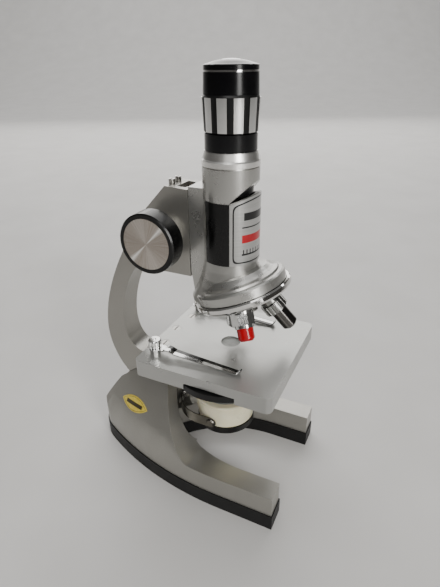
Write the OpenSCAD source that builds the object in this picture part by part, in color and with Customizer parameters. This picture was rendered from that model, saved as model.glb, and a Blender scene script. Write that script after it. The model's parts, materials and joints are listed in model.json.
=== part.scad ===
// Toy zoom microscope: horseshoe base, tilting arm, focusing tube, turret, stage and swivelling lamp.
// Millimetres, +Z up, legs point to -Y, origin at the bottom centre of the bounding box.

/* [Base] */
// Half width over the legs
base_half_w = 44; // [36:0.5:52]
// Distance of the leg ends in front of the optical axis
base_front = 46.1; // [38:0.1:56]
// Radius of the curved outer sides
side_r = 217; // [180:1:260]
// Radius of the rounded rear end
tip_r = 24; // [16:0.5:30]
// Height of the rubber foot
foot_h = 10.5; // [8:0.5:15]
// Height of the leg tops
leg_h = 24.4; // [20:0.1:30]
// Half width between the legs
gap_half_w = 29.3; // [24:0.1:34]
// Height of the cheek tops
cheek_h = 71.3; // [64:0.1:76]

/* [Arm] */
// Half width of the arm
arm_half_w = 7.5; // [5:0.1:9]
// Tilt pivot behind the optical axis
pivot_y = 50; // [44:0.5:56]
// Tilt pivot above the floor
pivot_z = 57; // [52:0.5:62]
// Tilt pivot bolt radius
pivot_r = 3; // [2:0.1:4]
// Half width of the focus housing
housing_half_w = 10; // [8:0.1:12]

/* [Stage] */
// Stage half width
stage_half_w = 41.3; // [34:0.1:50]
// Stage edge in front of the optical axis
stage_front = 40.8; // [34:0.1:48]
// Stage edge behind the optical axis
stage_rear = 43.3; // [36:0.1:50]
// Stage top height
stage_z = 94.8; // [88:0.1:100]
// Depth of the stage skirt
skirt_h = 10.1; // [6:0.1:14]
// Radius of the hole in the stage
stage_hole_r = 5.9; // [3:0.1:9]
// Clip post sideways position
post_x = 28.5; // [22:0.5:34]
// Clip post behind the optical axis
post_y = 36.3; // [30:0.1:38]

/* [Focus] */
// Pinion shaft behind the optical axis
pinion_y = 34.1; // [31:0.1:38]
// Pinion shaft height
pinion_z = 164.1; // [158:0.1:170]
// Pinion pitch radius
pitch_r = 6; // [4:0.1:8]
// Knob radius
knob_r = 16.5; // [12:0.1:20]
// Outer face of the knob from the middle plane
knob_x = 32; // [26:0.5:38]

/* [Tube] */
// Body tube radius
tube_r = 15; // [12:0.1:18]
// Top of the collar band
collar_z = 204.6; // [196:0.1:210]
// Top of the eye cap
top_z = 249.5; // [240:0.1:260]

/* [Turret] */
// Tilt of the turret axis in degrees
turret_tilt = 21; // [16:0.5:26]
// Height where all objective axes meet
apex_z = 152; // [146:0.5:158]
// Apex to flange face along the turret axis
apex_s = 19.8; // [17:0.1:23]
// Flange radius
flange_r = 26.1; // [22:0.1:28]
// Turret dish radius
dish_r = 28; // [24:0.1:30]
// Turn of the turret away from its click position in degrees
turret_turn = 25; // [0:1:60]

/* [Lamp] */
// Lamp pivot behind the optical axis
lamp_y = 5.2; // [0:0.1:6]
// Lamp pivot height
lamp_z = 43.7; // [40:0.1:48]
// Fork inner radius
fork_r = 19.6; // [18:0.1:22]

/* [Hidden] */
$fn = 96;
gap = 0.3;
side_x = side_r - base_half_w;
side_y = -10;
tip_y = side_y + sqrt(pow(side_r - tip_r, 2) - pow(side_x, 2));
axis_y = (base_front - tip_y - tip_r) / 2;
arch_r = 77.5;
arch_x = arch_r - gap_half_w;
cheek_slope = 0.55;
slot_half_w = arm_half_w + 0.8;
skirt_z = stage_z - skirt_h;
plate_z = stage_z - 2.5;
disc_x = -13.6;
disc_y = -2;
disc_r = 30;
knob_back = knob_x - 10.7;
chan_y = 20.6;
fork_y = 14.5;
fork_t = 0.7;
fork_h = 7.2;
drum_y = 3.4;
grip_z0 = 217.6;
grip_z1 = 234.6;
rack_pitch = 2 * PI * pitch_r / 20;

function arc(cy, cz, r, a0, a1, n) =
  [for (i = [0:n]) let (a = a0 + (a1 - a0) * i / n) [cy + r * cos(a), cz + r * sin(a)]];
function bez(a, b, c, d, n) =
  [for (i = [0:n]) let (t = i / n, u = 1 - t)
    u * u * u * a + 3 * u * u * t * b + 3 * u * t * t * c + t * t * t * d];

// Moves a child drawn about the optical axis into the shared frame
module opt() {
  translate([0, axis_y, 0]) children();
}

// Turns a profile drawn as [y, z] into a slab of the given half width
module slab(half_w) {
  rotate([90, 0, 90]) translate([0, 0, -half_w]) linear_extrude(2 * half_w) children();
}

// Horizontal rod along X
module rod(r, x0, x1, y, z) {
  translate([x0, y, z]) rotate([0, 90, 0]) cylinder(h = x1 - x0, r = r);
}

// Puts children in the frame of the turret: flange face at z = 0, turret axis along Z
module turret_frame() {
  translate([0, -apex_s * sin(turret_tilt), apex_z - apex_s * cos(turret_tilt)])
    rotate([-turret_tilt, 0, 0]) children();
}

// Puts children on an objective axis: z = 0 at the apex, -Z towards the specimen
module objective_frame(a) {
  turret_frame() rotate([0, 0, a - turret_turn]) translate([0, 0, apex_s]) rotate([turret_tilt, 0, 0])
    children();
}

module wedge(a0, a1, r, z0, z1) {
  n = 24;
  pts = [for (i = [0:n]) [r * sin(a0 + (a1 - a0) * i / n), -r * cos(a0 + (a1 - a0) * i / n)]];
  translate([0, 0, z0]) linear_extrude(z1 - z0) polygon(concat([[0, 0]], pts));
}

// Plan of the horseshoe without the opening; g shrinks it
module outline(g) {
  intersection() {
    translate([-side_x, side_y]) circle(r = side_r - g, $fn = 360);
    translate([side_x, side_y]) circle(r = side_r - g, $fn = 360);
    translate([-60, side_y]) square([120, tip_y + 10.6 - side_y]);
  }
  translate([0, tip_y]) circle(r = tip_r - g);
  translate([-base_half_w + g, -base_front + g])
    square([2 * base_half_w - 2 * g, base_front + side_y - g + 0.01]);
}

// Plan of the opening between the legs; g grows it
module opening(g) {
  intersection() {
    translate([-arch_x, -20]) circle(r = arch_r + g, $fn = 240);
    translate([arch_x, -20]) circle(r = arch_r + g, $fn = 240);
    translate([-60, -20.01]) square([120, 90]);
  }
  translate([-gap_half_w - g, -60]) square([2 * gap_half_w + 2 * g, 40]);
}

// Big solid of revolution that gives one curved flank and its sloping cheek
module flank(s, g) {
  z1 = cheek_h + 6;
  translate([s * side_x, side_y, 0]) rotate_extrude($fn = 360)
    polygon([[0, leg_h - 1], [side_r - g + cheek_slope, leg_h - 1],
      [side_r - g - cheek_slope * (z1 - leg_h), z1], [0, z1]]);
}

// Side view of the cheeks
module cheek_side() {
  intersection() {
    translate([-45.2, -51.1]) circle(r = 161.2, $fn = 360);
    polygon(concat([[8.4, foot_h - 1]],
      bez([8.6, 24.1], [18, 25], [25.5, 33], [30.6, 43.4], 16),
      bez([30.8, 43.8], [33.2, 48.2], [35, 55.5], [37.6, 62.6], 8),
      arc(pivot_y + 2, pivot_z, cheek_h - pivot_z, 155, 90, 8),
      [[90, cheek_h], [110, 40], [110, foot_h - 1]]));
  }
}

module base_foot() {
  color([0.03, 0.03, 0.03]) opt() difference() {
    linear_extrude(foot_h) difference() {
      outline(0);
      opening(0);
    }
    translate([0, 0, -1]) linear_extrude(foot_h - 2) difference() {
      outline(4);
      opening(4);
    }
  }
}

module base_casting() {
  color([0.56, 0.56, 0.54]) opt() difference() {
    union() {
      translate([0, 0, foot_h]) linear_extrude(leg_h - foot_h) outline(0.7);
      intersection() {
        flank(-1, 0.7);
        flank(1, 0.7);
        slab(60) cheek_side();
        translate([0, 0, leg_h - 1]) linear_extrude(60) outline(0.7);
      }
    }
    translate([0, 0, foot_h - 1]) linear_extrude(leg_h - foot_h + 2.5) opening(0.9);
    translate([-slot_half_w, 26, leg_h + 0.6]) cube([2 * slot_half_w, 90, 80]);
    translate([0, fork_y, 0]) rotate_extrude() polygon([[0, leg_h], [19, leg_h], [19.6, 25.2],
      [21.2, 26.6], [22.6, 28.6], [23.2, 31], [23.2, 100], [0, 100]]);
    translate([0, 0, foot_h - 1]) linear_extrude(leg_h - foot_h - 3) difference() {
      outline(4.5);
      opening(4.9);
      translate([-slot_half_w - 4, 26]) square([2 * slot_half_w + 8, 90]);
    }
    rod(pivot_r, -12.6, 60, pivot_y, pivot_z);
    rod(6.6, 13.6, 60, pivot_y, pivot_z);
  }
}

module pivot_bolt() {
  color([0.62, 0.62, 0.6]) opt() difference() {
    union() {
      rod(pivot_r, -12.5, 16, pivot_y, pivot_z);
      rod(5.6, 13.6, 17, pivot_y, pivot_z);
    }
    translate([16, pivot_y - 8, pivot_z - 0.6]) cube([2, 16, 1.2]);
  }
}

// Oval sticker wrapped on the left flank
module base_badge() {
  z = 39.8;
  r = side_r - 0.7 - cheek_slope * (z - leg_h);
  color([0.86, 0.72, 0.22]) opt() translate([side_x, side_y, z]) intersection() {
    rotate([0, 0, -20.4]) translate([-r, 0, 0]) rotate([0, atan(cheek_slope) - 90, 0])
      translate([0, 0, -3]) linear_extrude(6) rotate([0, 0, 6]) oval_plan(13.4, 5.3);
    difference() {
      translate([0, 0, -8]) cylinder($fn = 360, h = 16, r1 = r + 0.45 + 8 * cheek_slope,
        r2 = r + 0.45 - 8 * cheek_slope);
      translate([0, 0, -9]) cylinder($fn = 360, h = 18, r1 = r + 0.05 + 9 * cheek_slope,
        r2 = r + 0.05 - 9 * cheek_slope);
    }
  }
}

// Oval built from two arcs of circles: half length a along Y, half width b along X
module oval_plan(a, b) {
  r = (a * a + b * b) / (2 * b);
  intersection() {
    translate([r - b, 0]) circle(r = r);
    translate([b - r, 0]) circle(r = r);
  }
}

module arm_side() {
  polygon(concat(
    [[chan_y, 139.4], [chan_y, 189], [34.4, 189.7], [47.2, 176.2]],
    bez([47.2, 176.2], [68, 152], [87.6, 117], [88.3, 88], 28),
    bez([88.3, 88], [88.3, 66], [74, 44.5], [52, 44.5], 18),
    [[50, 44.5], [46, 38.4], [35.6, 38.4], [35.6, 50], [38, 58], [33, 72], [29.6, 76], [29.6, 84],
      [43, 84], [45, 74.4]],
    bez([60, 74.4], [70, 75.5], [74.2, 84], [74.2, 96], 16),
    bez([74.2, 96], [74.2, 112], [65, 136], [56, 139.4], 16)));
}

module arm() {
  color([0.58, 0.58, 0.56]) opt() difference() {
    union() {
      slab(arm_half_w) arm_side();
      slab(housing_half_w) polygon([[chan_y, 139.4], [chan_y, 189], [34.4, 189.7], [47.2, 176.2],
        [53, 167], [55, 158], [50, 139.4]]);
      rod(9.5, -13.6, 13.6, pinion_y, pinion_z);
      translate([-23, 29.6, 80]) cube([46, 11.4, plate_z - 80]);
    }
    translate([0, 0, 130]) linear_extrude(70)
      polygon([[-4.3, chan_y - 1], [4.3, chan_y - 1], [4.3, 23.6], [6.3, 23.6], [6.3, 28.6], [-6.3, 28.6],
        [-6.3, 23.6], [-4.3, 23.6]]);
    rod(7.6, -3.3, 3.3, pinion_y, pinion_z);
    rod(3.05, -20, 20, pinion_y, pinion_z);
    rod(pivot_r + 0.05, -20, 20, pivot_y, pivot_z);
    translate([0, 30, lamp_z]) rotate([-90, 0, 0]) cylinder(h = 12, r = 1.8);
    for (s = [-1, 1]) translate([17.5 * s, post_y, 86]) cylinder(h = 12, r = 1.6);
    translate([0, 38.4, 86]) cylinder(h = 12, r = 1.6);
    for (s = [-1, 1]) translate([3.4 * s, 33.4, 184]) cylinder(h = 8, r = 1.2);
  }
}

module housing_screws() {
  color([0.5, 0.5, 0.48]) opt() for (s = [-1, 1]) translate([3.4 * s, 33.4, 184]) difference() {
    union() {
      cylinder(h = 8, r = 1.2);
      translate([0, 0, 5.75]) cylinder(h = 2.6, r = 1.8);
    }
    translate([-3, -0.35, 7.6]) cube([6, 0.7, 2]);
  }
}

module stage_plan(g) {
  r = 3.5 - g;
  for (sx = [-1, 1]) {
    translate([sx * (stage_half_w - 3.5), -stage_front + 3.5]) circle(r = r);
    translate([sx * (stage_half_w - 3.5), stage_rear - 3.5]) circle(r = r);
  }
  translate([-stage_half_w + g, -stage_front + 3.5])
    square([2 * stage_half_w - 2 * g, stage_front + stage_rear - 7]);
  translate([-stage_half_w + 3.5, -stage_front + g])
    square([2 * stage_half_w - 7, stage_front + stage_rear - 2 * g]);
}

module stage() {
  color([0.6, 0.6, 0.58]) opt() difference() {
    translate([0, 0, skirt_z]) linear_extrude(skirt_h) stage_plan(0);
    difference() {
      translate([0, 0, skirt_z - 1]) linear_extrude(plate_z - skirt_z + 1) stage_plan(2);
      translate([disc_x, disc_y, skirt_z]) difference() {
        translate([0, 0, 3.1]) cylinder(h = 10, r = 4);
        cylinder(h = 20, r = 1.5);
      }
    }
    translate([0, 0, plate_z - 1]) cylinder(h = 10, r = stage_hole_r);
    translate([-stage_half_w - 1, -20.3, skirt_z - 1]) cube([5, 30.5, 4.8]);
    translate([disc_x, disc_y, skirt_z]) cylinder(h = 8.6, r = 1.5);
    translate([disc_x, disc_y, skirt_z - 1]) difference() {
      cylinder(h = 4.5, r = disc_r + 0.5);
      translate([0, 0, -1]) cylinder(h = 8, r = disc_r - 8);
    }
    for (s = [-1, 1]) translate([s * 17.5, post_y, plate_z - 1]) stage_screw_cut();
    translate([0, 38.4, plate_z - 1]) stage_screw_cut();
    for (s = [-1, 1]) translate([s * post_x, post_y, plate_z - 1]) cylinder(h = 5, r = 1.6);
  }
}

// Frosted disc that fills the light hole from below
module stage_glass() {
  color([0.6, 0.62, 0.6]) opt() difference() {
    union() {
      translate([0, 0, plate_z - 1]) cylinder(h = 2.2, r = stage_hole_r);
      translate([0, 0, plate_z - 1]) cylinder(h = 1, r = stage_hole_r + 1.6);
    }
    translate([0, 0, plate_z - 2]) cylinder(h = 1.5, r = stage_hole_r - 1);
  }
}

module stage_screw_cut() {
  cylinder(h = 5, r = 1.6);
  translate([0, 0, 2.1]) cylinder(h = 1.4, r1 = 1.6, r2 = 3);
}

module stage_screws() {
  color([0.4, 0.4, 0.38]) opt() {
    for (s = [-1, 1]) translate([s * 17.5, post_y, 0]) stage_screw();
    translate([0, 38.4, 0]) stage_screw();
  }
}

module stage_screw() {
  difference() {
    union() {
      translate([0, 0, 86]) cylinder(h = plate_z + 1.1 - 86, r = 1.6);
      translate([0, 0, plate_z + 1.1]) cylinder(h = 1.3, r1 = 1.6, r2 = 2.9);
    }
    translate([-3, -0.35, stage_z - 0.7]) cube([6, 0.7, 2]);
  }
}

module clip_posts() {
  color([0.66, 0.66, 0.64]) opt() for (s = [-1, 1]) translate([s * post_x, post_y, 0]) difference() {
    union() {
      translate([0, 0, plate_z - 2]) cylinder(h = 10.6, r = 1.6);
      translate([0, 0, stage_z]) cylinder(h = 3, r = 3.2);
      translate([0, 0, stage_z + 4.1]) cylinder(h = 4, r = 3.9);
      translate([0, 0, stage_z + 8.1]) cylinder(h = 0.7, r1 = 3.9, r2 = 3.2);
    }
    for (i = [0:11]) rotate([0, 0, 30 * i]) translate([4.15, 0, stage_z + 3]) cylinder(h = 8, r = 0.6);
    translate([0, 0, stage_z + 8]) cylinder(h = 2, r = 1.1);
  }
}

// Spring clip; s is the side it sits on
module clip(s) {
  z0 = stage_z + 3.15;
  translate([s * post_x, 0, 0]) difference() {
    union() {
      translate([0, post_y, z0]) cylinder(h = 0.7, r = 4.4);
      intersection() {
        slab(3) polygon([[post_y, z0], [post_y, z0 + 0.7], [30, z0 + 0.7], [28.2, z0 + 1.9],
          [25.6, z0 + 1.9], [22.6, z0 + 0.6], [-16.6, stage_z + 1.2], [-18.2, stage_z + 2.9],
          [-18.7, stage_z + 2.5], [-16.9, stage_z + 0.5], [22.4, z0 - 0.1], [25.8, z0 + 1.2],
          [28, z0 + 1.2], [29.8, z0]]);
        translate([0, 0, 90]) linear_extrude(20) polygon([[-3, 40], [3, 40], [2.1, -20], [-2.1, -20]]);
      }
    }
    translate([0, post_y, z0 - 1]) cylinder(h = 3, r = 1.65);
  }
}

module clip_left() {
  color([0.75, 0.75, 0.73]) opt() clip(-1);
}

module clip_right() {
  color([0.75, 0.75, 0.73]) opt() clip(1);
}

module aperture_disc() {
  color([0.03, 0.03, 0.03]) opt() translate([disc_x, disc_y, 83.3]) difference() {
    cylinder(h = 4.1, r = disc_r);
    translate([0, 0, -1]) cylinder(h = 3.3, r = disc_r - 2.4);
    translate([0, 0, -1]) cylinder(h = 8, r = 1.55);
    for (i = [0:4]) rotate([0, 0, 8.4 + 72 * i]) translate([13.75, 0, -1])
      cylinder(h = 8, r = 4.6 - 0.8 * i);
  }
}

module aperture_screw() {
  color([0.6, 0.6, 0.58]) opt() translate([disc_x, disc_y, 0]) difference() {
    union() {
      translate([0, 0, 85]) cylinder(h = 7, r = 1.5);
      translate([0, 0, 83.9]) cylinder(h = 1.3, r = 3.2);
    }
    translate([-4, -0.4, 83]) cube([8, 0.8, 1.5]);
  }
}

// Puts children on the pinion axis with +Z out through the knob on side s
module pinion_frame(s) {
  translate([0, pinion_y, pinion_z]) rotate([0, 90 * s, 0]) children();
}

module pinion() {
  color([0.7, 0.68, 0.6]) opt() pinion_frame(1) difference() {
    union() {
      translate([0, 0, -knob_x + 3]) cylinder(h = 2 * knob_x - 6, r = 3);
      difference() {
        translate([0, 0, -2.9]) cylinder(h = 5.8, r = pitch_r - 0.15);
        for (i = [0:19]) rotate([0, 0, 18 * i]) translate([pitch_r - 0.15, 0, -4]) rotate([0, 0, 45])
          translate([-0.5, -0.5, 0]) cube([1, 1, 8]);
      }
    }
  }
}

module knob_rims() {
  color([0.02, 0.02, 0.02]) opt() for (s = [-1, 1]) pinion_frame(s) difference() {
    union() {
      translate([0, 0, knob_back]) cylinder(h = 0.8, r1 = knob_r - 0.7, r2 = knob_r + 0.1);
      translate([0, 0, knob_back + 0.8])
        cylinder(h = knob_x - knob_back - 1.6, r1 = knob_r + 0.1, r2 = knob_r);
      translate([0, 0, knob_x - 0.8]) cylinder(h = 0.8, r1 = knob_r, r2 = knob_r - 0.7);
    }
    translate([0, 0, knob_x - 0.9]) cylinder(h = 3, r = knob_r - 2.6);
    translate([0, 0, knob_back - 1]) cylinder(h = 7, r = 3);
    translate([0, 0, knob_back + 5]) cylinder(h = 2.7, r = 3);
    translate([0, 0, knob_back - 1]) difference() {
      cylinder(h = 5.6, r = knob_r - 2.4);
      cylinder(h = 7, r = 6.5);
    }
  }
}

module knob_faces() {
  color([0.72, 0.71, 0.68]) opt() for (s = [-1, 1]) pinion_frame(s) difference() {
    translate([0, 0, knob_x - 0.9]) cylinder(h = 0.7, r = knob_r - 2.65);
    translate([0, 0, knob_x - 0.35]) cylinder(h = 1, r = 0.8);
  }
}

module friction_washers() {
  color([0.72, 0.72, 0.7]) opt() for (s = [-1, 1]) pinion_frame(s) difference() {
    union() {
      translate([0, 0, 13.9]) cylinder(h = 1.2, r1 = 9.5, r2 = 9);
      translate([0, 0, 15.1]) cylinder(h = knob_back - 15.1, r = 6.4);
    }
    translate([0, 0, 13]) cylinder(h = 10, r = 3);
  }
}

// Everything of the body tube casting before it is hollowed
module tube_solid() {
  translate([0, 0, 128]) cylinder(h = 201.4 - 128, r = tube_r - 0.1);
  rotate_extrude() polygon([[0, 120], [22, 128], [20.4, 132], [18.4, 137], [16.8, 142], [15.7, 147],
    [tube_r - 0.1, 152], [0, 152]]);
  slab(9.5) polygon([[2, 190.5], [20.3, 190.5], [20.3, 142.5], [19.6, 139], [18.4, 131], [10, 128],
    [2, 128]]);
  turret_frame() rotate_extrude() polygon([[0, 0], [flange_r, 0], [flange_r, 4.7], [flange_r - 0.8, 5.5],
    [23.5, 5.8], [23, 6.9], [21, 7.7], [19.6, 8.9], [18, 10.6], [0, 12]]);
}

module body_tube() {
  color([0.6, 0.6, 0.58]) opt() difference() {
    union() {
      intersection() {
        tube_solid();
        turret_frame() cylinder(h = 120, r = 90);
      }
      translate([0, 0, 141.5]) linear_extrude(44.7)
        polygon([[-4, 18], [4, 18], [4, 23.9], [6, 23.9], [6, 27], [-6, 27], [-6, 23.9], [-4, 23.9]]);
    }
    translate([0, 0, 158]) cylinder(h = 60, r = 12.8);
    translate([0, 0, 110]) cylinder(h = 60, r = 6);
    slab(30) polygon([[-5, 185], [-5, 185.2], [-20, 200.2], [-20, 191]]);
    translate([-30, 20.3, 100]) cube([60, 20, 41]);
    turret_frame() translate([0, 0, -1]) cylinder(h = 9, r = 2.6);
  }
}

module rack() {
  tooth = pinion_y - pitch_r - 0.15;
  color([0.55, 0.53, 0.48]) opt() slab(3) polygon(concat([[27, 141.6], [27, 186.2]],
    [for (i = [11:-1:-11]) for (k = [0:3]) [k == 0 || k == 3 ? tooth - 0.8 : tooth,
      pinion_z + rack_pitch * (i + [0.42, 0.16, -0.16, -0.42][k])]]));
}

module black_wrap() {
  color([0.015, 0.015, 0.015]) opt() for (s = [-1, 1]) difference() {
    intersection() {
      translate([0, 0, 151.6]) cylinder(h = 33.4, r = tube_r + 0.25);
      if (s < 0) wedge(-126, -69.5, 30, 140, 200);
      if (s > 0) wedge(69.5, 126, 30, 140, 200);
    }
    translate([0, 0, 140]) cylinder(h = 60, r = tube_r);
  }
}

module name_plate() {
  color([0.7, 0.7, 0.68]) opt() difference() {
    intersection() {
      translate([0, 0, 152.1]) cylinder(h = 40, r = tube_r + 0.9);
      wedge(-68.5, 68.5, 30, 140, 200);
      slab(30) polygon([[0, 140], [0, 182.4], [-20, 190.8], [-20, 140]]);
    }
    translate([0, 0, 140]) cylinder(h = 60, r = tube_r + 0.05);
  }
}

module tube_collar() {
  color([0.75, 0.75, 0.73]) opt() difference() {
    rotate_extrude() polygon([[12, 185], [12.8, 185], [12.8, 201.4], [13.6, 201.4], [13.6, 202.1],
      [tube_r, 202.1], [tube_r, collar_z], [14.4, collar_z + 0.8], [13.45, 209.1], [12, 209.1]]);
    slab(30) polygon([[-4, 180], [-4, 184.2], [-20, 200.2], [-20, 180]]);
  }
}

module zoom_barrel() {
  color([0.02, 0.02, 0.02]) opt() difference() {
    union() {
      translate([0, 0, 188]) cylinder(h = 21.4, r = 11.95);
      translate([0, 0, 209.4]) cylinder(h = grip_z0 - 0.3 - 209.4, r = 13.26);
      translate([0, 0, grip_z0 - 0.4]) cylinder(h = 8, r = 10.8);
    }
    translate([0, 0, 180]) cylinder(h = 60, r = 9.8);
  }
}

module zoom_grip() {
  color([0.02, 0.02, 0.02]) opt() difference() {
    union() {
      translate([0, 0, grip_z0]) cylinder(h = 0.5, r1 = 12.8, r2 = 13.25);
      translate([0, 0, grip_z0 + 0.5]) cylinder(h = grip_z1 - grip_z0 - 1.5, r1 = 13.25, r2 = 13.8);
      translate([0, 0, grip_z1 - 1]) cylinder(h = 1, r1 = 13.8, r2 = 13.3);
    }
    translate([0, 0, grip_z0 - 1]) cylinder(h = 9.6, r = 10.9);
    translate([0, 0, grip_z0 + 8]) cylinder(h = 20, r = 9.8);
  }
}

module zoom_strips() {
  color([0.8, 0.8, 0.78]) opt() for (i = [0:10]) rotate([0, 0, i * 360 / 11 + 14.1]) difference() {
    intersection() {
      translate([0, 0, grip_z0 + 0.6]) cylinder(h = grip_z1 - grip_z0 - 1.8, r1 = 13.68, r2 = 14.3);
      wedge(-9.8, 9.8, 30, 200, 240);
    }
    translate([0, 0, grip_z0 + 0.5]) cylinder(h = grip_z1 - grip_z0 - 1.5, r1 = 13.25, r2 = 13.8);
  }
}

module eye_cap() {
  color([0.02, 0.02, 0.02]) opt() difference() {
    union() {
      translate([0, 0, grip_z1]) cylinder(h = 9.4, r1 = 13.5, r2 = 13.2);
      translate([0, 0, grip_z1 + 9.4]) cylinder(h = 0.8, r = 12.7);
      translate([0, 0, grip_z1 + 10.2]) cylinder(h = 2.1, r = 13.1);
      translate([0, 0, grip_z1 + 12.3]) rotate_extrude() polygon([[0, 0], [13.1, 0], [12.8, 0.25],
        [10.8, 0.75], [9.2, 1.25], [7.4, 1.7], [5.4, 2.1], [0, 2.1]]);
    }
    translate([0, 0, top_z - 2.6]) cylinder(h = 4, r = 5);
    translate([0, 0, grip_z1 - 1]) cylinder(h = 20, r = 4.2);
    translate([0, 0, grip_z1 - 1]) cylinder(h = 10.6, r = 9.8);
  }
}

module eye_ring() {
  color([0.75, 0.75, 0.73]) opt() translate([0, 0, grip_z1 + 9.4]) difference() {
    cylinder(h = 0.8, r = 13.15);
    translate([0, 0, -1]) cylinder(h = 4, r = 12.7);
  }
}

module eye_lens() {
  color([0.7, 0.75, 0.8]) opt() intersection() {
    translate([0, 0, top_z - 2.6]) cylinder(h = 3, r = 5);
    translate([0, 0, top_z - 24]) sphere(r = 24);
  }
}

// Leaf spring behind the turret that holds each objective in its click position
module click_spring() {
  color([0.75, 0.75, 0.74]) opt() slab(3.1) polygon([[20.32, 131.6], [20.32, 125.6], [19.4, 122.9],
    [17.3, 117.3], [16.9, 115.4], [17.5, 115.2], [18, 117.1], [20.1, 122.7], [21.02, 125.5],
    [21.02, 131.6]]);
}

module turret_dish() {
  color([0.75, 0.75, 0.74]) opt() difference() {
    union() {
      turret_frame() rotate_extrude() polygon([[0, -0.3], [dish_r - 0.6, -0.3], [dish_r, -0.9],
        [dish_r, -3], [dish_r - 0.9, -4.3], [4.5, -12.9], [0, -12.9]]);
      for (a = [0, 120, 240]) objective_frame(a) translate([0, 0, -32.1]) cylinder(h = 6, r = 7.2);
    }
    for (a = [0, 120, 240]) objective_frame(a) translate([0, 0, -40]) cylinder(h = 21, r = 3.6);
    for (a = [0, 120, 240]) objective_frame(a) translate([0, 0, -46]) cylinder(h = 13.9, r = 7.6);
    turret_frame() translate([0, 0, -14]) cylinder(h = 16, r = 2.65);
  }
}

module turret_screw() {
  color([0.6, 0.6, 0.58]) opt() turret_frame() difference() {
    union() {
      translate([0, 0, -14]) cylinder(h = 22, r = 2.6);
      translate([0, 0, -14.8]) cylinder(h = 1.6, r = 4.6);
    }
    translate([-5, -0.5, -15.4]) cube([10, 1, 1.3]);
  }
}

module objective_low() {
  color([0.7, 0.7, 0.68]) opt() objective_frame(0) difference() {
    union() {
      translate([0, 0, -32.1]) cylinder(h = 2, r = 3.6);
      translate([0, 0, -38]) cylinder(h = 5.9, r = 6.7);
      translate([0, 0, -46.8]) cylinder(h = 8.8, r = 6.8);
      translate([0, 0, -48.4]) cylinder(h = 1.6, r1 = 4, r2 = 5.6);
    }
    for (i = [0:11]) rotate([0, 0, 30 * i]) translate([7.2, 0, -45.8]) cylinder(h = 6.6, r = 1);
    translate([0, 0, -60]) cylinder(h = 40, r = 2.3);
  }
}

module objective_mid_mount() {
  color([0.5, 0.5, 0.48]) opt() objective_frame(120) difference() {
    union() {
      translate([0, 0, -32.1]) cylinder(h = 2, r = 3.6);
      translate([0, 0, -33.4]) cylinder(h = 1.3, r = 6.6);
      translate([0, 0, -39.4]) cylinder(h = 6, r = 7, $fn = 8);
      translate([0, 0, -41.2]) cylinder(h = 1.8, r = 5.5);
    }
    translate([0, 0, -60]) cylinder(h = 40, r = 2.3);
  }
}

module objective_mid_barrel() {
  color([0.55, 0.02, 0.03]) opt() objective_frame(120) difference() {
    union() {
      translate([0, 0, -47.2]) cylinder(h = 6, r = 4.75);
      translate([0, 0, -48.5]) cylinder(h = 1.3, r1 = 3.5, r2 = 4.75);
    }
    translate([0, 0, -60]) cylinder(h = 40, r = 2.3);
  }
}

module objective_high_mount() {
  color([0.4, 0.4, 0.39]) opt() objective_frame(240) difference() {
    union() {
      translate([0, 0, -32.1]) cylinder(h = 2, r = 3.6);
      translate([0, 0, -36]) cylinder(h = 3.9, r = 6);
      translate([0, 0, -42]) cylinder(h = 6, r = 7.2);
    }
    for (i = [0:17]) rotate([0, 0, 20 * i]) translate([7.5, 0, -43]) cylinder(h = 8, r = 0.6);
    translate([0, 0, -60]) cylinder(h = 40, r = 2.3);
  }
}

module objective_high_barrel() {
  color([0.2, 0.2, 0.2]) opt() objective_frame(240) difference() {
    union() {
      translate([0, 0, -54.6]) cylinder(h = 12.6, r = 4.9);
      translate([0, 0, -55.9]) cylinder(h = 1.3, r1 = 3.6, r2 = 4.9);
    }
    translate([0, 0, -60]) cylinder(h = 40, r = 2.3);
  }
}

module objective_lenses() {
  color([0.5, 0.6, 0.7]) opt() {
    objective_frame(0) translate([0, 0, -47.6]) cylinder(h = 1.4, r = 2.3);
    objective_frame(120) translate([0, 0, -47.8]) cylinder(h = 1.4, r = 2.3);
    objective_frame(240) translate([0, 0, -55.2]) cylinder(h = 1.4, r = 2.3);
  }
}

// U-shaped strip seen from above
module fork_plan(r) {
  translate([0, fork_y]) circle(r = r);
  translate([-r, -20]) square([2 * r, 20 + fork_y]);
}

module lamp_fork() {
  color([0.6, 0.6, 0.58]) opt() difference() {
    intersection() {
      translate([0, 0, lamp_z - fork_h / 2]) linear_extrude(fork_h) difference() {
        fork_plan(fork_r + fork_t);
        fork_plan(fork_r);
      }
      union() {
        rod(fork_h / 2, -40, 40, lamp_y, lamp_z);
        translate([-40, lamp_y, 0]) cube([80, 60, 100]);
      }
    }
    rod(1.8, -40, 40, lamp_y, lamp_z);
    translate([0, 25, lamp_z]) rotate([-90, 0, 0]) cylinder(h = 20, r = 1.85);
  }
}

module fork_rivet() {
  color([0.72, 0.72, 0.7]) opt() translate([0, 0, lamp_z]) rotate([-90, 0, 0]) {
    translate([0, 0, 33]) cylinder(h = 8.8, r = 1.8);
    translate([0, 0, 32]) cylinder(h = 1.7, r1 = 2.8, r2 = 3.5);
  }
}

module lamp_drum() {
  color([0.85, 0.8, 0.62]) opt() difference() {
    translate([0, drum_y, 0]) rotate_extrude() polygon([[15.4, 39.6], [17.5, 39.6], [18.2, 40.3],
      [20.9, 56.6], [20, 57.5], [16.4, 57.5], [16.4, 54.5], [15.4, 54.5], [15.4, 45], [15.8, 45],
      [15.8, 41.2], [15.4, 41.2]]);
    rod(1.75, -40, 40, lamp_y, lamp_z);
  }
}

module lamp_window() {
  color([0.9, 0.9, 0.85]) opt() translate([0, drum_y, 54.5]) cylinder(h = 1.6, r = 16.4);
}

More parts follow.
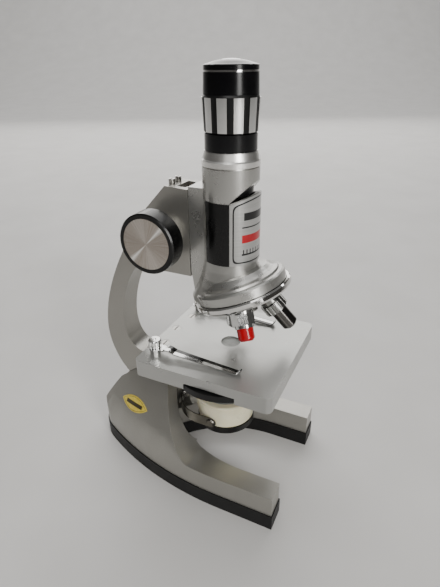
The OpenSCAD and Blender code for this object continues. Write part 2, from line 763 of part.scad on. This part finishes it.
module mirror_cell() {
  color([0.02, 0.02, 0.02]) opt() translate([0, drum_y, 0]) difference() {
    union() {
      translate([0, 0, 35.6]) cylinder(h = 4, r = 18.7);
      translate([0, 0, 39.6]) cylinder(h = 1.6, r = 15.4);
    }
    translate([0, 0, 35]) cylinder(h = 2, r = 16.6);
  }
}

module mirror_glass() {
  color([0.8, 0.8, 0.82]) opt() translate([0, drum_y, 35.9]) cylinder(h = 1.1, r = 16.6);
}

module lamp_pivots() {
  color([0.72, 0.72, 0.7]) opt() for (s = [-1, 1]) translate([0, lamp_y, lamp_z]) rotate([0, 90 * s, 0]) {
    translate([0, 0, 16]) cylinder(h = fork_r + fork_t + 0.05 - 16, r = 1.75);
    translate([0, 0, fork_r + fork_t + 0.05]) cylinder(h = 0.8, r1 = 2.9, r2 = 2.3);
  }
}

base_foot();
base_casting();
pivot_bolt();
base_badge();
arm();
housing_screws();
stage();
stage_glass();
stage_screws();
clip_posts();
clip_left();
clip_right();
aperture_disc();
aperture_screw();
pinion();
knob_rims();
knob_faces();
friction_washers();
body_tube();
rack();
black_wrap();
name_plate();
tube_collar();
zoom_barrel();
zoom_grip();
zoom_strips();
eye_cap();
eye_ring();
eye_lens();
turret_dish();
turret_screw();
objective_low();
objective_mid_mount();
objective_mid_barrel();
objective_high_mount();
objective_high_barrel();
objective_lenses();
click_spring();
lamp_fork();
fork_rivet();
lamp_drum();
lamp_window();
mirror_cell();
mirror_glass();
lamp_pivots();
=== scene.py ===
import json
import math

import bpy
from mathutils import Matrix, Vector


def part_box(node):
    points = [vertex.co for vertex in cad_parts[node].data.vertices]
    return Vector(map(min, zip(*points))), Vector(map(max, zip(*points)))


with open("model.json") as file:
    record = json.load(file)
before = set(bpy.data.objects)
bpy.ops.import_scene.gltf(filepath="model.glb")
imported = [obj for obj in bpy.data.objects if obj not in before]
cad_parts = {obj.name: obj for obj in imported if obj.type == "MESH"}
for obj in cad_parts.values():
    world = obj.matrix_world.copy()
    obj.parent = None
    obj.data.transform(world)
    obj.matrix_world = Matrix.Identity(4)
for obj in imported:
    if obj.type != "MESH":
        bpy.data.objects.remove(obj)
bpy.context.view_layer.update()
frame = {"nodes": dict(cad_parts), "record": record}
NODES = frame["nodes"]
AXIS_Y = (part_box("eye_lens")[0].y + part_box("eye_lens")[1].y) / 2


# ---------------------------------------------------------------- materials

class Finish:
    """A Principled material with a few short ways to add texture nodes."""

    def __init__(self, name, **sockets):
        self.material = bpy.data.materials.new(name)
        self.material.use_nodes = True
        self.tree = self.material.node_tree
        self.shader = self.tree.nodes["Principled BSDF"]
        self.place = self.node("ShaderNodeTexCoord").outputs["Object"]
        for key, value in sockets.items():
            self.shader.inputs[key.replace("_", " ")].default_value = value

    def node(self, kind, **settings):
        made = self.tree.nodes.new(kind)
        for key, value in settings.items():
            setattr(made, key, value)
        return made

    def link(self, source, target):
        self.tree.links.new(source, target)

    def put(self, socket, value):
        if isinstance(value, (int, float, tuple)):
            socket.default_value = value
        else:
            self.link(value, socket)

    def math(self, operation, a, b=0.0, c=0.0):
        made = self.node("ShaderNodeMath", operation=operation)
        for socket, value in zip(made.inputs, (a, b, c)):
            self.put(socket, value)
        return made.outputs[0]

    def noise(self, scale, detail=3.0, rough=0.55, vector=None, distortion=0.0):
        made = self.node("ShaderNodeTexNoise")
        self.link(vector or self.place, made.inputs["Vector"])
        made.inputs["Scale"].default_value = scale
        made.inputs["Detail"].default_value = detail
        made.inputs["Roughness"].default_value = rough
        made.inputs["Distortion"].default_value = distortion
        return made.outputs["Fac"]

    def scaled(self, x, y, z):
        made = self.node("ShaderNodeMapping")
        self.link(self.place, made.inputs["Vector"])
        made.inputs["Scale"].default_value = (x, y, z)
        return made.outputs["Vector"]

    def moved(self, origin, turn=(0, 0, 0)):
        made = self.node("ShaderNodeMapping", vector_type="TEXTURE")
        self.link(self.place, made.inputs["Vector"])
        made.inputs["Location"].default_value = origin
        made.inputs["Rotation"].default_value = turn
        return made.outputs["Vector"]

    def split(self, vector):
        made = self.node("ShaderNodeSeparateXYZ")
        self.link(vector, made.inputs[0])
        return made.outputs

    def ramp(self, fac, stops):
        made = self.node("ShaderNodeValToRGB")
        self.link(fac, made.inputs[0])
        line = made.color_ramp
        while len(line.elements) < len(stops):
            line.elements.new(0.5)
        for element, (at, colour) in zip(line.elements, stops):
            element.position = at
            element.color = (*colour, 1)
        return made.outputs["Color"]

    def span(self, fac, low, high, start=0.3, end=0.7):
        made = self.node("ShaderNodeMapRange")
        self.link(fac, made.inputs["Value"])
        made.inputs["From Min"].default_value = start
        made.inputs["From Max"].default_value = end
        made.inputs["To Min"].default_value = low
        made.inputs["To Max"].default_value = high
        return made.outputs["Result"]

    def mix(self, fac, a, b):
        made = self.node("ShaderNodeMix", data_type="RGBA")
        self.put(made.inputs[0], fac)
        for socket, value in ((made.inputs[6], a), (made.inputs[7], b)):
            self.put(socket, (*value, 1) if isinstance(value, tuple) else value)
        return made.outputs[2]

    def colour(self, value):
        self.link(value, self.shader.inputs["Base Color"])

    def rough(self, value):
        self.link(value, self.shader.inputs["Roughness"])

    def bump(self, height, distance, strength=1.0, after=None):
        made = self.node("ShaderNodeBump")
        made.inputs["Distance"].default_value = distance
        made.inputs["Strength"].default_value = strength
        self.link(height, made.inputs["Height"])
        if after:
            self.link(after, made.inputs["Normal"])
        self.link(made.outputs[0], self.shader.inputs["Normal"])
        return made.outputs[0]


def shades(colour, low, high):
    return tuple(c * low for c in colour), tuple(c * high for c in colour)


def paint(name, colour, metallic, rough, peel=0.00002, flake=0.08, worn=0.0):
    """Silver enamel: fine metal flake, orange peel and faint handling marks."""
    f = Finish(name, Metallic=metallic, Specular_IOR_Level=0.5)
    low, high = shades(colour, 1 - flake, 1 + flake)
    fine = f.ramp(f.noise(5200, 2, 0.6), [(0.32, low), (0.68, high)])
    broad = f.span(f.noise(34, 4, 0.6), 0.0, 1.0, 0.35, 0.7)
    tint = f.mix(f.math("MULTIPLY", broad, 0.35), fine, shades(colour, 0.86, 1)[0])
    f.colour(tint)
    f.rough(f.span(f.noise(60, 5, 0.65), rough - 0.05, rough + 0.09, 0.3, 0.72))
    first = f.bump(f.noise(620, 2, 0.5), peel)
    f.bump(f.noise(5200, 2, 0.6), 0.000004, 1.0, first)
    if worn:
        f.shader.inputs["Coat Weight"].default_value = worn
        f.shader.inputs["Coat Roughness"].default_value = 0.22
    return f.material


def chrome(name, colour, rough, brushed=None, smudge=0.06):
    """Plated or turned metal; brushed is a scale per axis for fine drawn lines."""
    f = Finish(name, Metallic=1.0)
    low, high = shades(colour, 0.93, 1.03)
    f.colour(f.ramp(f.noise(90, 4, 0.6), [(0.3, low), (0.7, high)]))
    f.rough(f.span(f.noise(130, 5, 0.7), rough, rough + smudge, 0.42, 0.72))
    if brushed:
        f.bump(f.noise(1, 3, 0.6, f.scaled(*brushed)), 0.000012)
    else:
        f.bump(f.noise(260, 2, 0.5), 0.000006)
    return f.material


def plastic(name, colour, rough, grain=2400, depth=0.000008, coat=0.0, dust=0.08):
    """Moulded plastic or rubber with a fine moulded grain and a trace of dust."""
    f = Finish(name, Specular_IOR_Level=0.32, Coat_Weight=coat, Coat_Roughness=0.06)
    grey = tuple(min(1.0, c + 0.04) for c in colour)
    speck = f.span(f.noise(1500, 3, 0.7), 0.0, 1.0, 0.6, 0.72)
    cloud = f.span(f.noise(45, 4, 0.6), 0.0, 1.0, 0.4, 0.75)
    dusty = f.math("MULTIPLY", f.math("MULTIPLY", speck, cloud), dust * 4)
    f.colour(f.mix(dusty, f.mix(cloud, colour, shades(colour, 1, 1.35)[1]), grey))
    f.rough(f.span(f.noise(75, 4, 0.6), rough - 0.03, rough + 0.07, 0.3, 0.7))
    f.bump(f.noise(grain, 2, 0.5), depth)
    return f.material


def spun(name, colour, rough, centre, pitch, painted_glint=0.0):
    """Metal turned about X: concentric tool lines, and, when asked for, a fan-shaped highlight painted into
    the colour.
    """
    f = Finish(name, Metallic=1.0, Anisotropic=0.8)
    x, y, z = f.split(f.moved(centre))
    radius = f.math("SQRT", f.math("ADD", f.math("MULTIPLY", y, y), f.math("MULTIPLY", z, z)))
    ring = f.node("ShaderNodeTexNoise", noise_dimensions="1D")
    f.link(f.math("MULTIPLY", radius, pitch), ring.inputs["W"])
    ring.inputs["Scale"].default_value = 1.0
    ring.inputs["Detail"].default_value = 4.0
    low, high = shades(colour, 0.9, 1.05)
    tone = f.ramp(ring.outputs["Fac"], [(0.3, low), (0.7, high)])
    # Painted highlight: bright narrow and wide fans and radial streaks are mixed into the base colour toward
    # near-white.
    if painted_glint:
        angle = f.math("ARCTAN2", z, y)
        line = f.math("ABSOLUTE", f.math("COSINE", f.math("ADD", angle, math.radians(45))))
        wide = f.math("ABSOLUTE", f.math("COSINE", f.math("SUBTRACT", angle, math.radians(70))))
        streak = f.node("ShaderNodeTexNoise", noise_dimensions="1D")
        f.link(f.math("MULTIPLY", angle, 14), streak.inputs["W"])
        streak.inputs["Scale"].default_value = 1.0
        streak.inputs["Detail"].default_value = 3.0
        painted_fans = f.math("ADD", f.math("POWER", line, 260), f.math("MULTIPLY", f.math("POWER", wide, 14), 0.16))
        painted_fans = f.math("ADD", painted_fans, f.span(streak.outputs["Fac"], 0.0, 0.2, 0.35, 0.7))
        tone = f.mix(f.math("MINIMUM", f.math("MULTIPLY", painted_fans, painted_glint), 1.0), tone, (0.97, 0.95, 0.92))
    f.colour(tone)
    f.rough(f.span(ring.outputs["Fac"], rough, rough + 0.06))
    tangent = f.node("ShaderNodeTangent", direction_type="RADIAL", axis="X")
    f.link(tangent.outputs[0], f.shader.inputs["Tangent"])
    f.bump(ring.outputs["Fac"], 0.000006)
    return f.material


def chrome_with_painted_shade(name, colour, rough):
    """Plated spring strip with a lengthwise fold: the inner half of the strip is painted dark as shade."""
    f = Finish(name, Metallic=1.0)
    x, y, z = f.split(f.place)
    fold_x = 0.0286
    post_y = AXIS_Y + 0.028
    away = f.math("SUBTRACT", f.math("ABSOLUTE", x), fold_x)
    side = f.span(away, 0.0, 1.0, -0.00025, 0.00025)
    strip = f.span(y, 1.0, 0.0, post_y - 0.0005, post_y + 0.0005)
    # Painted shade: where this mask is 1, the inner half of the strip is darkened to a tenth of the plate
    # colour.
    painted_shade = f.math("MULTIPLY", f.math("SUBTRACT", 1.0, side), strip)
    low, high = shades(colour, 0.9, 1.05)
    plate = f.ramp(f.noise(90, 4, 0.6), [(0.3, low), (0.7, high)])
    f.colour(f.mix(painted_shade, plate, shades(colour, 0.1, 1)[0]))
    f.rough(f.span(f.noise(130, 5, 0.7), rough, rough + 0.05, 0.42, 0.72))
    f.bump(f.noise(260, 2, 0.5), 0.000006)
    return f.material


def label():
    """Silver foil with a printed frame and plain bars in place of lettering."""
    f = Finish("label_foil", Metallic=0.75, Roughness=0.3, Coat_Weight=0.5, Coat_Roughness=0.08)
    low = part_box("name_plate")[0]
    plate_radius = 0.0159
    half_width = 0.01885
    top_at_axis, top_slope = 0.1824, 0.42
    x, y, z = f.split(f.moved((0, AXIS_Y, 0)))
    across = f.math("MULTIPLY", f.math("ARCTAN2", x, f.math("MULTIPLY", y, -1)), plate_radius)
    tilt = f.math("MULTIPLY", f.math("ABSOLUTE", y), top_slope)
    top = f.math("ADD", tilt, top_at_axis)
    below = f.math("SUBTRACT", top, z)
    above = f.math("SUBTRACT", z, low.z)
    side = f.math("SUBTRACT", half_width, f.math("ABSOLUTE", across))
    edge = f.math("SMOOTH_MIN", f.math("SMOOTH_MIN", below, above, 0.004), side, 0.004)

    def band(value, start, end, soft=0.00006):
        up = f.span(value, 0.0, 1.0, start - soft, start + soft)
        down = f.span(value, 1.0, 0.0, end - soft, end + soft)
        return f.math("MULTIPLY", up, down)

    frame_line = band(edge, 0.0013, 0.0021)
    half = f.math("ABSOLUTE", across)
    rows = None
    for start, end, reach in ((0.0245, 0.0285, 0.0115), (0.0205, 0.0212, 0.0125), (0.0056, 0.0066, 0.0125)):
        row = f.math("MULTIPLY", band(above, start, end), band(half, -0.001, reach))
        rows = row if rows is None else f.math("MAXIMUM", rows, row)
    beat = f.math("FRACT", f.math("MULTIPLY", f.math("ADD", across, 0.05), 480))
    scale_row = f.math("MULTIPLY", band(above, 0.0066, 0.0088), band(half, -0.001, 0.0125))
    ticks = f.math("MULTIPLY", band(beat, 0.3, 0.62, 0.03), scale_row)
    dark = f.math("MAXIMUM", frame_line, f.math("MAXIMUM", rows, ticks))
    red = f.math("MULTIPLY", band(above, 0.0125, 0.0168), band(half, -0.001, 0.0125))
    drawn = f.noise(1, 3, 0.6, f.scaled(60, 60, 5200))
    foil = f.ramp(drawn, [(0.3, (0.36, 0.36, 0.35)), (0.7, (0.48, 0.48, 0.47))])
    shaded = f.mix(dark, f.mix(red, foil, (0.5, 0.012, 0.02)), (0.015, 0.015, 0.016))
    f.colour(shaded)
    f.bump(f.math("ADD", dark, red), 0.00003, 0.6)
    return f.material


def sticker():
    """Gold foil oval with a printed rim and a plain bar."""
    low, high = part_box("base_badge")
    middle = (low + high) / 2
    f = Finish("sticker_foil", Metallic=0.35, Roughness=0.3, Coat_Weight=0.6, Coat_Roughness=0.1)
    half_length, half_height, slant = 0.0132, 0.0047, 0.086
    x, y, z = f.split(f.moved(tuple(middle), (0, 0, math.radians(-20.3))))
    along = f.math("DIVIDE", y, half_length)
    up = f.math("DIVIDE", f.math("ADD", z, f.math("MULTIPLY", y, slant)), half_height)
    reach = f.math("ADD", f.math("POWER", f.math("ABSOLUTE", along), 2.0), f.math("ABSOLUTE", up))
    rim = f.math("MULTIPLY", f.span(reach, 0.0, 1.0, 0.8, 0.82), f.span(reach, 1.0, 0.0, 0.85, 0.87))
    bar_height = f.span(f.math("ABSOLUTE", up), 1.0, 0.0, 0.24, 0.27)
    bar_length = f.span(f.math("ABSOLUTE", along), 1.0, 0.0, 0.62, 0.64)
    bar = f.math("MULTIPLY", bar_height, bar_length)
    gold = f.ramp(f.noise(420, 3, 0.6), [(0.3, (0.74, 0.55, 0.06)), (0.7, (0.9, 0.72, 0.12))])
    f.colour(f.mix(f.math("MAXIMUM", rim, bar), gold, (0.05, 0.04, 0.02)))
    f.bump(f.noise(900, 2, 0.5), 0.00001)
    return f.material


def lens(name):
    f = Finish(name, Roughness=0.03, IOR=1.52, Coat_Weight=1.0, Coat_Roughness=0.02)
    f.colour(f.ramp(f.noise(220, 2, 0.5), [(0.3, (0.03, 0.035, 0.05)), (0.7, (0.06, 0.07, 0.1))]))
    f.bump(f.noise(120, 2, 0.5), 0.000004)
    return f.material


def cream():
    """Slightly translucent moulded plastic, yellowed unevenly."""
    f = Finish("drum_plastic", Subsurface_Weight=0.25, Subsurface_Scale=0.003,
               Coat_Weight=0.35, Coat_Roughness=0.12)
    f.shader.inputs["Subsurface Radius"].default_value = (1.0, 0.7, 0.4)
    f.colour(f.ramp(f.noise(55, 4, 0.6), [(0.3, (0.74, 0.68, 0.47)), (0.7, (0.86, 0.82, 0.62))]))
    f.rough(f.span(f.noise(140, 4, 0.6), 0.26, 0.38))
    f.bump(f.noise(800, 2, 0.5), 0.000012)
    return f.material


def frosted():
    f = Finish("window_plastic", Transmission_Weight=0.25, IOR=1.49)
    f.colour(f.ramp(f.noise(300, 3, 0.6), [(0.3, (0.34, 0.35, 0.33)), (0.7, (0.46, 0.47, 0.45))]))
    f.rough(f.span(f.noise(600, 3, 0.6), 0.42, 0.55))
    f.bump(f.noise(1800, 2, 0.5), 0.00002)
    return f.material


faces_low, faces_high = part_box("knob_faces")
knob_centre = tuple((faces_low + faces_high) / 2)
MATERIALS = {
    "foot_rubber": plastic("foot_rubber", (0.004, 0.004, 0.004), 0.5, 1300, 0.00002, dust=0.03),
    "casting_paint": paint("casting_paint", (0.37, 0.36, 0.33), 0.8, 0.36, worn=0.1),
    "arm_paint": paint("arm_paint", (0.33, 0.32, 0.295), 0.8, 0.34, worn=0.1),
    "stage_paint": paint("stage_paint", (0.40, 0.40, 0.385), 0.75, 0.3, worn=0.15),
    "tube_paint": paint("tube_paint", (0.42, 0.415, 0.395), 0.82, 0.28, worn=0.2),
    "steel": chrome("screw_steel", (0.4, 0.39, 0.37), 0.22, smudge=0.12),
    "sticker": sticker(),
    "clip_chrome": chrome_with_painted_shade("clip_chrome", (0.8, 0.8, 0.79), 0.08),
    "disc_black": plastic("disc_black", (0.003, 0.003, 0.003), 0.4, dust=0.03),
    "knob_black": plastic("knob_black", (0.003, 0.003, 0.003), 0.2, 900, 0.000004, dust=0.02),
    # Knob face: the dark brownish base tone is a painted reflection of a brown floor, and the 0.9 setting
    # paints bright fans on it as highlight.
    "spun_aluminium": spun("knob_spun", (0.4, 0.35, 0.305), 0.26, knob_centre, 9000, 0.9),
    "washer_aluminium": spun("washer_spun", (0.62, 0.61, 0.59), 0.22, knob_centre, 7000),
    "rack_brass": chrome("rack_metal", (0.55, 0.47, 0.3), 0.25, smudge=0.12),
    "wrap_black": plastic("wrap_black", (0.002, 0.002, 0.002), 0.26, 700, 0.000004, dust=0.01),
    "plate_silver": label(),
    "collar_aluminium": chrome("collar_turned", (0.9, 0.89, 0.86), 0.3, (40, 40, 4200)),
    "eye_black": plastic("eye_black", (0.002, 0.002, 0.0025), 0.17, 1100, 0.000004, dust=0.02),
    "grip_black": plastic("grip_black", (0.002, 0.002, 0.002), 0.34, 1500, 0.00001, dust=0.01),
    "strip_chrome": chrome("strip_chrome", (0.82, 0.82, 0.81), 0.1, (3800, 3800, 60)),
    "lens_glass": lens("lens_glass"),
    "turret_chrome": chrome("turret_chrome", (0.74, 0.73, 0.71), 0.05),
    "objective_chrome": chrome("objective_chrome", (0.72, 0.72, 0.71), 0.14, (50, 50, 3600)),
    "objective_dark": chrome("objective_dark", (0.24, 0.24, 0.23), 0.22, (50, 50, 3600)),
    "barrel_red": plastic("barrel_red", (0.33, 0.0015, 0.006), 0.2, 900, 0.000004, 0.5, dust=0.01),
    "barrel_dark": chrome("barrel_dark", (0.1, 0.095, 0.09), 0.14),
    "fork_steel": chrome("fork_steel", (0.09, 0.085, 0.075), 0.2),
    "drum_cream": cream(),
    "window_frost": frosted(),
    "cell_black": plastic("cell_black", (0.005, 0.005, 0.005), 0.34, dust=0.02),
    "mirror_silver": chrome("mirror_silver", (0.86, 0.87, 0.88), 0.02, smudge=0.02),
}
for part in frame["record"]["subparts"]:
    mesh = NODES[part["node"]].data
    mesh.materials.clear()
    mesh.materials.append(MATERIALS[part["material_slot"]])


# ---------------------------------------------------------------- softened edges on the CAD parts

def soften(node, width, angle=32, segments=3):
    """Rounds the sharp edges of a CAD part with modifiers; its mesh stays as packed."""
    part = NODES[node]
    weld = part.modifiers.new("weld", "WELD")
    weld.merge_threshold = 0.000005
    bevel = part.modifiers.new("edge", "BEVEL")
    bevel.width = width
    bevel.segments = segments
    bevel.limit_method = "ANGLE"
    bevel.angle_limit = math.radians(angle)
    bevel.use_clamp_overlap = True
    normal = part.modifiers.new("normals", "WEIGHTED_NORMAL")
    normal.keep_sharp = False


for node, width in (
    ("base_casting", 0.0013), ("base_foot", 0.0006), ("arm", 0.0009), ("stage", 0.0009),
):
    soften(node, width)


# ---------------------------------------------------------------- camera

def photo_camera():
    """The camera that took the photo: its place, its angles and its field of view."""
    frame_height, focal_height = 587, 450.48
    place = (-0.21276, AXIS_Y - 0.09467, 0.24881)
    yaw, pitch, roll = math.radians(-64.46), math.radians(27.42), -0.011
    look = Vector((-math.sin(yaw) * math.cos(pitch), math.cos(yaw) * math.cos(pitch), -math.sin(pitch)))
    right = Vector((math.cos(yaw), math.sin(yaw), 0))
    up = right.cross(look)
    right, up = math.cos(roll) * right + math.sin(roll) * up, -math.sin(roll) * right + math.cos(roll) * up
    turn = Matrix((right, up, -look)).transposed().to_4x4()
    data = bpy.data.cameras.new("camera")
    data.sensor_fit = "VERTICAL"
    data.sensor_height = 36.0
    data.lens = data.sensor_height * focal_height / frame_height
    data.clip_start = 0.01
    camera = bpy.data.objects.new("camera", data)
    camera.matrix_world = Matrix.Translation(place) @ turn
    bpy.context.scene.collection.objects.link(camera)
    bpy.context.scene.camera = camera


photo_camera()


# ---------------------------------------------------------------- floor and light

# Level directions of the photo's view: away from the camera, and across it
AWAY = Vector((0.902, 0.431, 0))
ACROSS = Vector((-0.431, 0.902, 0))


def backdrop():
    """Pale floor that sweeps up far behind the microscope."""
    f = Finish("floor_pale", Specular_IOR_Level=0.3)
    f.colour(f.ramp(f.noise(12, 3, 0.5), [(0.3, (0.5, 0.49, 0.475)), (0.7, (0.54, 0.53, 0.515))]))
    f.rough(f.span(f.noise(30, 3, 0.5), 0.5, 0.6))
    near, bend_start, bend, top, half_width, drop = -7, 2.5, 2, 5, 9, 0.0002
    turns = [math.radians(10 * k) for k in range(10)]
    profile = [(bend_start + bend * math.sin(a), bend - bend * math.cos(a)) for a in turns]
    profile = [(near, 0)] + profile + [(bend_start + bend, top)]
    sides = (-half_width, half_width)
    points = [AWAY * d + ACROSS * w + Vector((0, 0, h - drop)) for d, h in profile for w in sides]
    faces = [(2 * i, 2 * i + 2, 2 * i + 3, 2 * i + 1) for i in range(len(profile) - 1)]
    mesh = bpy.data.meshes.new("floor")
    mesh.from_pydata(points, [], faces)
    mesh.shade_smooth()
    mesh.materials.append(f.material)
    floor = bpy.data.objects.new("floor", mesh)
    bpy.context.scene.collection.objects.link(floor)


def area(name, at, size, power, colour=(1, 1, 1), target=(0, 0, 0.12)):
    """A soft rectangular light that faces the target; all lengths in metres, power in watts."""
    data = bpy.data.lights.new(name, "AREA")
    data.shape = "RECTANGLE"
    data.size, data.size_y = size
    data.energy = power
    data.color = colour
    lamp = bpy.data.objects.new(name, data)
    lamp.location = at
    lamp.rotation_euler = (Vector(target) - Vector(at)).to_track_quat("-Z", "Y").to_euler()
    bpy.context.scene.collection.objects.link(lamp)


backdrop()
area("window", (-0.75, -1.2, 0.66), (0.4, 1.15), 17, (1.0, 0.99, 0.97))
area("wall", (1.5, 0.75, 0.9), (2.2, 1.2), 21, (1.0, 0.985, 0.96), (0, 0, 0.1))
area("top", (0.1, 0.2, 1.5), (0.8, 0.8), 5)
area("high_left", (-1.05, -0.35, 1.15), (0.7, 0.7), 9, (1.0, 0.99, 0.97))
area("sweep", AWAY * 1.9 + Vector((0, 0, 2.6)), (4, 1.5), 110, (1, 1, 1), AWAY * 3.6)


def studio():
    """Dim room: darker near the level of the floor, a soft grey overhead."""
    world = bpy.data.worlds.new("studio")
    world.use_nodes = True
    tree = world.node_tree
    place = tree.nodes.new("ShaderNodeTexCoord")
    split = tree.nodes.new("ShaderNodeSeparateXYZ")
    ramp = tree.nodes.new("ShaderNodeValToRGB")
    back = tree.nodes["Background"]
    tree.links.new(place.outputs["Generated"], split.inputs[0])
    tree.links.new(split.outputs["Z"], ramp.inputs[0])
    tree.links.new(ramp.outputs["Color"], back.inputs["Color"])
    low, high = ramp.color_ramp.elements
    low.position, high.position = 0.0, 0.8
    low.color = (0.14, 0.13, 0.12, 1)
    high.color = (0.5, 0.5, 0.5, 1)
    back.inputs["Strength"].default_value = 0.36
    bpy.context.scene.world = world


studio()
